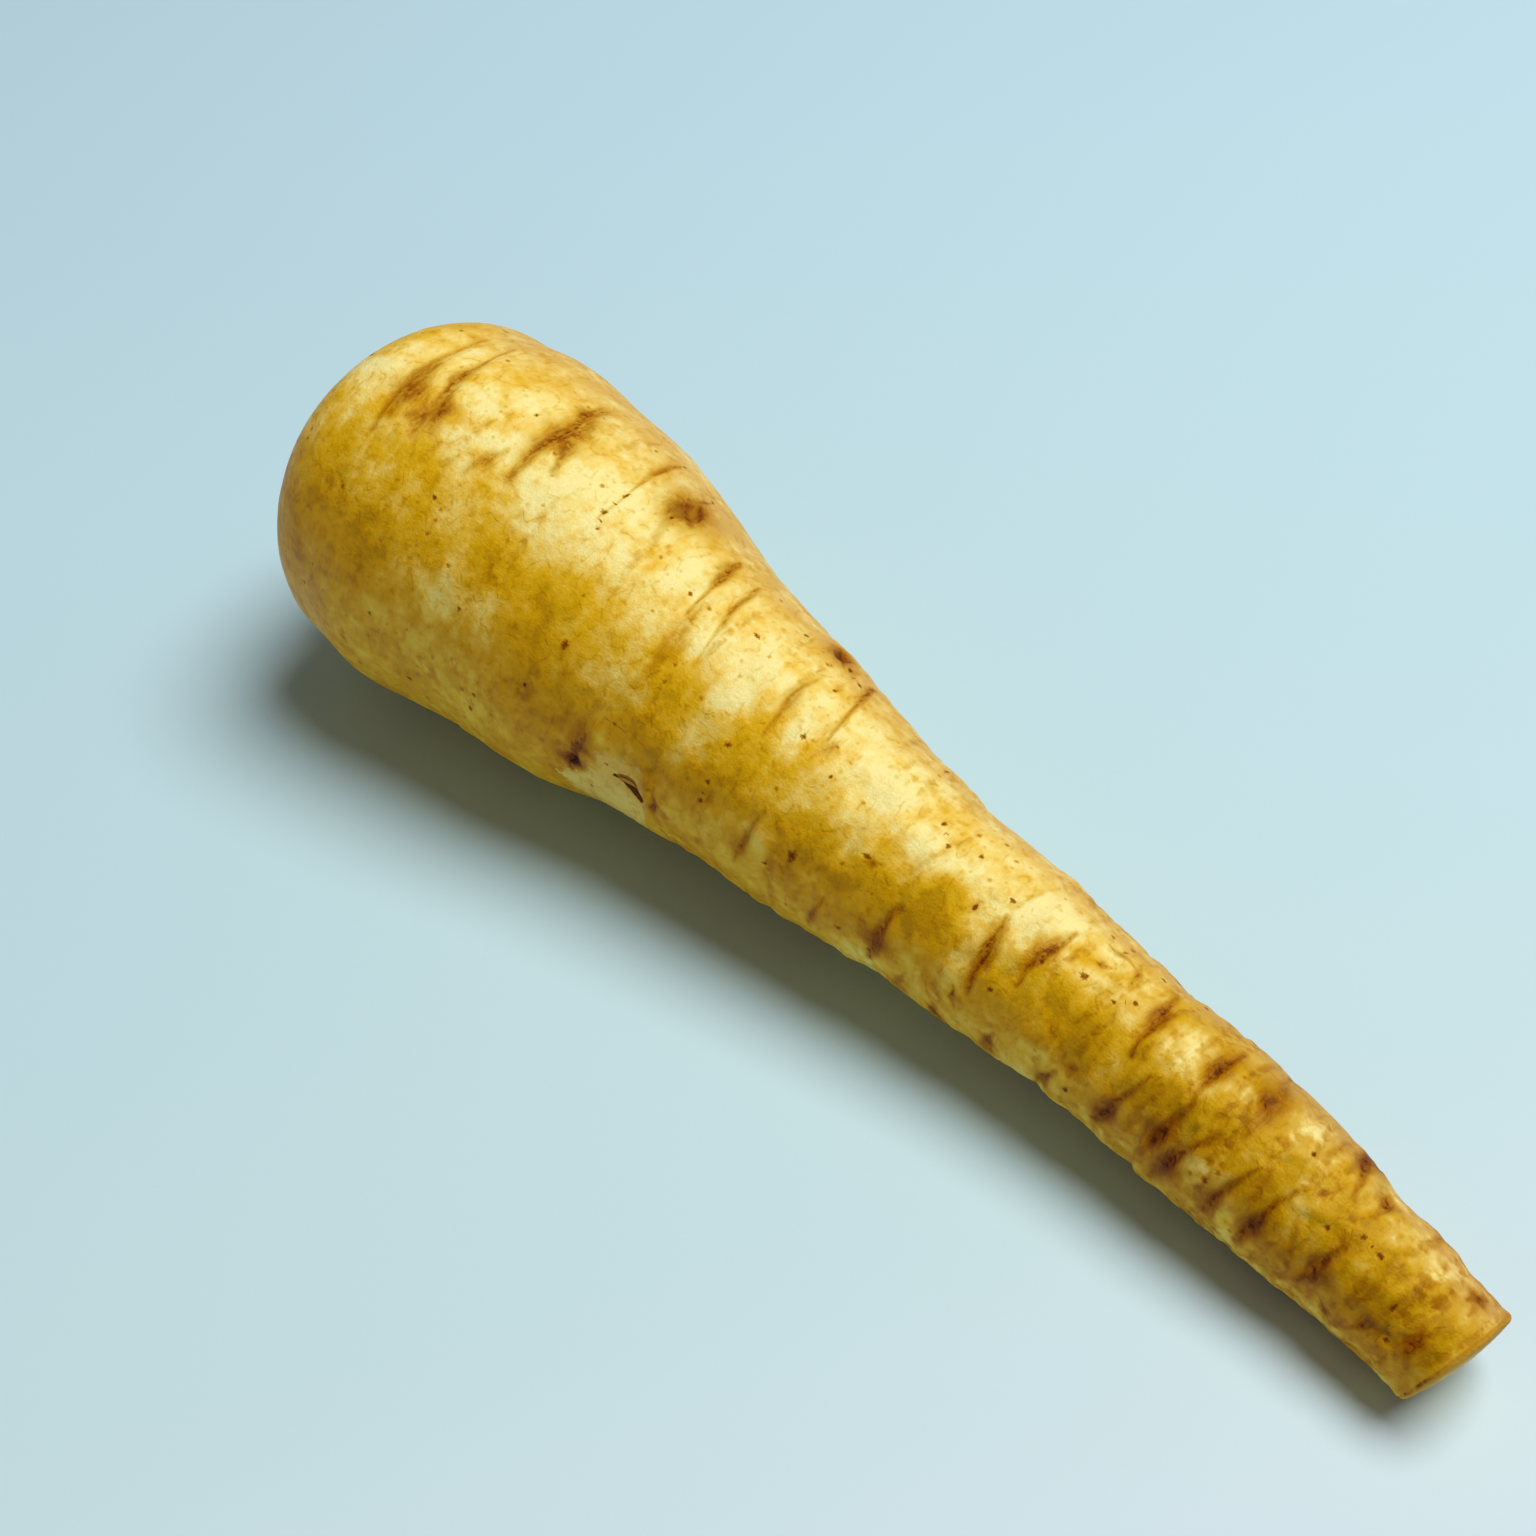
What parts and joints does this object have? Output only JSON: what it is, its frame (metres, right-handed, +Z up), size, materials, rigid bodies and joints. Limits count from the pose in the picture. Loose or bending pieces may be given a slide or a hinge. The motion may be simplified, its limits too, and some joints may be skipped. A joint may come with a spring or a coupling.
{
  "type": "parsnip",
  "caption": "Fresh parsnip root lying on its side: broad round crown with a corky plug of leaf bases, long taper with creases and side-root scars, tip cut across.",
  "frame": {"origin": "centre of the bounding box at its base, on the surface that the root lies on", "axes": "+X along the root from the crown to the cut tip, +Z up, -Y the side towards the viewer"},
  "size_m": [0.2348, 0.064, 0.0636],
  "materials": {
    "skin": "waxy golden-cream root skin, satin, with brown creases and pores"
  },
  "bodies": {
    "root": {"parsnip_root": "skin"}
  },
  "joints": []
}
